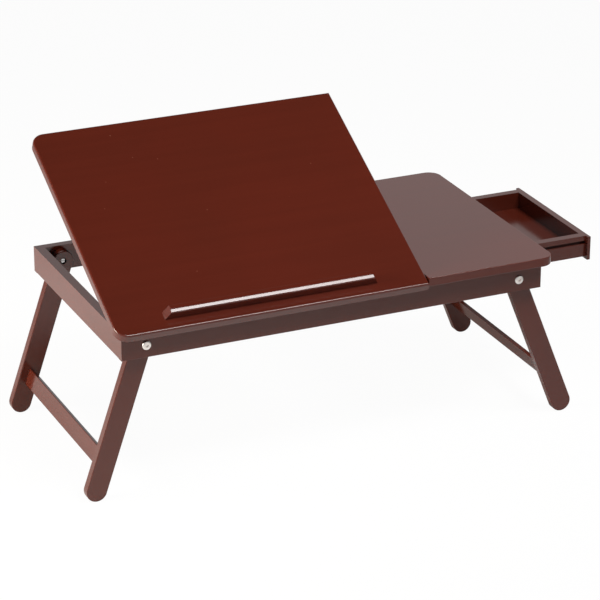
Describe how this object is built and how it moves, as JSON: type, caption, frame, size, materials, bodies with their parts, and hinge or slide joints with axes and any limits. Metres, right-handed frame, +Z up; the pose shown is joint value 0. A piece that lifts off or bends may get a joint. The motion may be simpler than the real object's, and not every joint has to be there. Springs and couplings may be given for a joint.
{
  "type": "laptop stand with drawer",
  "caption": "Wooden lap table with folding legs, a tilting laptop top with a ledge that a notched prop holds up, and a fixed side top over a sliding drawer.",
  "frame": {"origin": "on the floor, in the middle of the stand's footprint with the drawer open as stored", "axes": "+X towards the drawer's side, +Y away from the person using it, +Z up"},
  "size_m": [0.7518, 0.3584, 0.3982],
  "materials": {
    "tilt_top_wood": "satin stained reddish brown",
    "fixed_top_wood": "satin stained reddish brown",
    "rail_wood": "satin stained brown",
    "leg_wood": "satin stained brown",
    "drawer_wood": "satin stained dark brown",
    "inner_wood": "plain stained brown",
    "bright_nickel": "polished nickel plate",
    "zinc_steel": "zinc plate"
  },
  "bodies": {
    "tray": {"front_rail": "rail_wood", "back_rail": "rail_wood", "left_end_rail": "rail_wood", "right_end_rail_front": "rail_wood", "right_end_rail_back": "rail_wood", "cross_batten": "inner_wood", "fixed_top": "fixed_top_wood", "prop_bar_left": "inner_wood", "prop_bar_right": "inner_wood", "prop_axle": "zinc_steel", "drawer_runner_front": "inner_wood", "drawer_runner_back": "inner_wood", "runner_screws": "zinc_steel", "drawer_stop": "inner_wood", "hinge_left_rail_leaf": "zinc_steel", "hinge_right_rail_leaf": "zinc_steel", "hinge_left_pin": "zinc_steel", "hinge_right_pin": "zinc_steel", "hinge_rail_screws": "zinc_steel", "leg_bolt_front_left": "bright_nickel", "leg_bolt_back_left": "bright_nickel", "leg_bolt_front_right": "bright_nickel", "leg_bolt_back_right": "bright_nickel", "leg_nut_front_left": "zinc_steel", "leg_nut_back_left": "zinc_steel", "leg_nut_front_right": "zinc_steel", "leg_nut_back_right": "zinc_steel"},
    "tilt_top": {"tilt_panel": "tilt_top_wood", "ledge_bar": "tilt_top_wood", "notch_rack": "inner_wood", "rack_screws": "zinc_steel", "hinge_left_top_leaf": "zinc_steel", "hinge_right_top_leaf": "zinc_steel", "hinge_top_screws": "zinc_steel"},
    "prop": {"prop_arm_left": "inner_wood", "prop_arm_right": "inner_wood", "prop_rod": "zinc_steel"},
    "left_legs": {"leg_front_left": "leg_wood", "leg_back_left": "leg_wood", "stretcher_left": "leg_wood"},
    "right_legs": {"leg_front_right": "leg_wood", "leg_back_right": "leg_wood", "stretcher_right": "leg_wood"},
    "drawer": {"drawer_plate": "drawer_wood", "drawer_front_board": "drawer_wood", "drawer_side_front": "drawer_wood", "drawer_side_back": "drawer_wood", "drawer_back_board": "drawer_wood", "drawer_floor": "drawer_wood"}
  },
  "joints": [
    {"name": "tilt", "type": "hinge", "parent": "tray", "child": "tilt_top", "pos_m": [-0.32856, -0.16408, 0.2297], "axis": [1, 0, 0], "range_deg": [-27.5, 0]},
    {"name": "prop_swing", "type": "hinge", "parent": "tray", "child": "prop", "pos_m": [-0.32856, -0.08593, 0.2095], "axis": [1, 0, 0], "range_deg": [-45.5, 0.5]},
    {"name": "left_legs_fold", "type": "hinge", "parent": "tray", "child": "left_legs", "pos_m": [-0.29526, -0.16148, 0.211], "axis": [0, -1, 0], "range_deg": [0, 108.7]},
    {"name": "right_legs_fold", "type": "hinge", "parent": "tray", "child": "right_legs", "pos_m": [0.23214, -0.16148, 0.211], "axis": [0, 1, 0], "range_deg": [0, 111.7]},
    {"name": "drawer_slide", "type": "slide", "parent": "tray", "child": "drawer", "axis": [1, 0, 0], "range_m": [-0.1105, 0.0075]}
  ],
  "couplings": [
    {"joint": "prop_swing", "follows": "tilt", "ratio": 1.6364}
  ]
}
